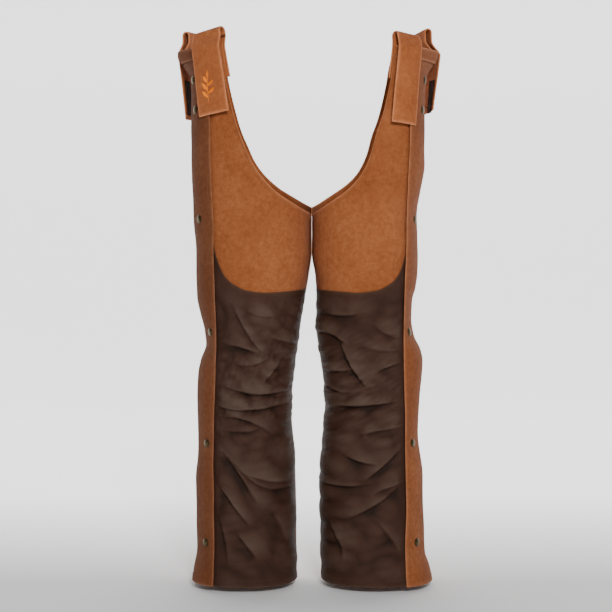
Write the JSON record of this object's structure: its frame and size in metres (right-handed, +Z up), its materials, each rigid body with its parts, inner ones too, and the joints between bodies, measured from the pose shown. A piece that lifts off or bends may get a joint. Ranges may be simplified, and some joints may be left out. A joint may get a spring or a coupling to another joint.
{
  "type": "leg chaps",
  "caption": "Pair of canvas over-trouser leg chaps with nylon-faced fronts, snap-closed side flaps and folded belt straps that open on hook and loop.",
  "frame": {"origin": "on the plane of the hems, at the centre of the pair's bounding box", "axes": "+Z up along the legs, the front faces -Y, the wearer's left leg is at +X"},
  "size_m": [0.4706, 0.1961, 1],
  "materials": {
    "canvas_duck": "matt cotton duck",
    "nylon_facing": "coated nylon, slight sheen",
    "antique_brass": "dark antique brass",
    "brass_inner": "plain brass",
    "hook_and_loop": "woven tape",
    "embroidery_orange": "satin stitch thread"
  },
  "bodies": {
    "right_leg": {"right_front_panel": "canvas_duck", "right_back_panel": "canvas_duck", "right_front_facing": "nylon_facing", "right_snap_studs": "brass_inner", "right_stud_rivets": "brass_inner", "right_front_sewn_strap": "canvas_duck", "right_rear_sewn_strap": "canvas_duck", "right_front_loop_tape": "hook_and_loop", "right_rear_loop_tape": "hook_and_loop"},
    "right_flap": {"right_side_flap": "canvas_duck", "right_snap_caps": "antique_brass", "right_snap_sockets": "brass_inner"},
    "right_front_closure": {"right_front_strap_flap": "canvas_duck", "right_front_hook_tape": "hook_and_loop", "right_embroidered_sprig": "embroidery_orange"},
    "right_rear_closure": {"right_rear_strap_flap": "canvas_duck", "right_rear_hook_tape": "hook_and_loop"},
    "left_leg": {"left_front_panel": "canvas_duck", "left_back_panel": "canvas_duck", "left_front_facing": "nylon_facing", "left_snap_studs": "brass_inner", "left_stud_rivets": "brass_inner", "left_front_sewn_strap": "canvas_duck", "left_rear_sewn_strap": "canvas_duck", "left_front_loop_tape": "hook_and_loop", "left_rear_loop_tape": "hook_and_loop"},
    "left_flap": {"left_side_flap": "canvas_duck", "left_snap_caps": "antique_brass", "left_snap_sockets": "brass_inner"},
    "left_front_closure": {"left_front_strap_flap": "canvas_duck", "left_front_hook_tape": "hook_and_loop"},
    "left_rear_closure": {"left_rear_strap_flap": "canvas_duck", "left_rear_hook_tape": "hook_and_loop"}
  },
  "joints": [
    {"name": "left_leg_swing", "type": "hinge", "parent": "right_leg", "child": "left_leg", "pos_m": [0.115, -0.01871, 0.982], "axis": [1, 0, 0], "range_deg": [-45, 30]},
    {"name": "right_flap_open", "type": "hinge", "parent": "right_leg", "child": "right_flap", "pos_m": [-0.204, -0.004, 0.47], "axis": [0, 0, -1], "range_deg": [0, 90]},
    {"name": "right_front_strap_lift", "type": "hinge", "parent": "right_leg", "child": "right_front_closure", "pos_m": [-0.17094, -0.07518, 1], "axis": [-0.829, 0.5592, 0], "range_deg": [0, 150]},
    {"name": "right_rear_strap_lift", "type": "hinge", "parent": "right_leg", "child": "right_rear_closure", "pos_m": [-0.21658, 0.03757, 1], "axis": [0.342, 0.9397, 0], "range_deg": [0, 150]},
    {"name": "left_flap_open", "type": "hinge", "parent": "left_leg", "child": "left_flap", "pos_m": [0.204, -0.004, 0.47], "axis": [0, 0, 1], "range_deg": [0, 90]},
    {"name": "left_front_strap_lift", "type": "hinge", "parent": "left_leg", "child": "left_front_closure", "pos_m": [0.17094, -0.07518, 1], "axis": [-0.829, -0.5592, 0], "range_deg": [0, 150]},
    {"name": "left_rear_strap_lift", "type": "hinge", "parent": "left_leg", "child": "left_rear_closure", "pos_m": [0.21658, 0.03757, 1], "axis": [0.342, -0.9397, 0], "range_deg": [0, 150]}
  ],
  "couplings": [
    {"joint": "right_front_strap_lift", "follows": "right_flap_open", "ratio": 1.5},
    {"joint": "left_front_strap_lift", "follows": "left_flap_open", "ratio": 1.5}
  ]
}
